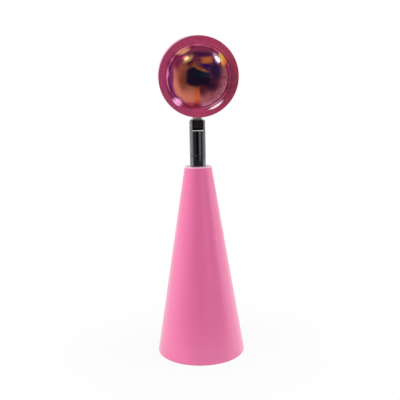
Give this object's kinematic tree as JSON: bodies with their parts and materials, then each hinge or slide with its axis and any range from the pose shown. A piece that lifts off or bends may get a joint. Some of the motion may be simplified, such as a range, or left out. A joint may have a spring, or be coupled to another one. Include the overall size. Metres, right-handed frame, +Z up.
{
  "type": "sunset projection lamp",
  "caption": "Small table lamp that casts a round glow: tall tapered pink base, slim chrome neck that swivels, and a tilting round head with a domed lens.",
  "frame": {"origin": "on the cone's axis, in the plane that the foot pad rests on", "axes": "+Z up along the cone and neck, -Y where the lens faces, +Y the side of the power inlet"},
  "size_m": [0.0734, 0.0734, 0.262],
  "materials": {
    "pink_body": "satin moulded pink plastic",
    "rose_ring": "glossy deep rose plastic",
    "iridescent_lens": "dichroic coated dome glass",
    "chrome": "polished dark chrome plate",
    "black_plastic": "black moulded plastic",
    "pale_plastic": "pale moulded plastic",
    "rubber": "soft foam rubber",
    "iron": "cast",
    "steel": "zinc plated steel",
    "aluminium": "plain",
    "board": "green laminate with lacquer",
    "white_board": "white lacquered metal board",
    "phosphor": "yellow silicone",
    "lead_jacket": "soft black jacket"
  },
  "bodies": {
    "base": {"base_cone": "pink_body", "bottom_cover": "pale_plastic", "foot_pad": "rubber", "cover_screws": "steel", "ballast": "iron", "ballast_screws": "steel", "inlet_board": "board", "inlet_board_screws": "steel", "inlet_shell": "steel", "inlet_tongue": "black_plastic", "inlet_bezel": "pink_body", "driver_chip": "black_plastic", "capacitor": "aluminium", "supply_lead": "lead_jacket", "neck_collar": "chrome", "collar_washer": "steel", "collar_nut": "steel", "swivel_washer": "black_plastic"},
    "neck": {"neck_fork": "chrome", "pivot_screws": "chrome", "pivot_washers": "black_plastic", "friction_washer": "steel", "retaining_clip": "steel"},
    "head": {"hinge_stem": "chrome", "stem_washer": "steel", "stem_nut": "steel", "head_shell": "pink_body", "front_bezel": "rose_ring", "dome_lens": "iridescent_lens", "lens_gasket": "rubber", "reflector_cup": "aluminium", "led_board": "white_board", "led_emitter": "phosphor", "led_board_screws": "steel", "heat_sink": "aluminium", "heat_sink_screws": "steel", "head_lead": "lead_jacket"}
  },
  "joints": [
    {"name": "neck_swivel", "type": "hinge", "parent": "base", "child": "neck", "pos_m": [0, 0, 0.16728], "axis": [0, 0, 1], "range_deg": [-170, 170]},
    {"name": "head_tilt", "type": "hinge", "parent": "neck", "child": "head", "pos_m": [0, 0, 0.19148], "axis": [1, 0, 0], "range_deg": [-90, 80]}
  ]
}
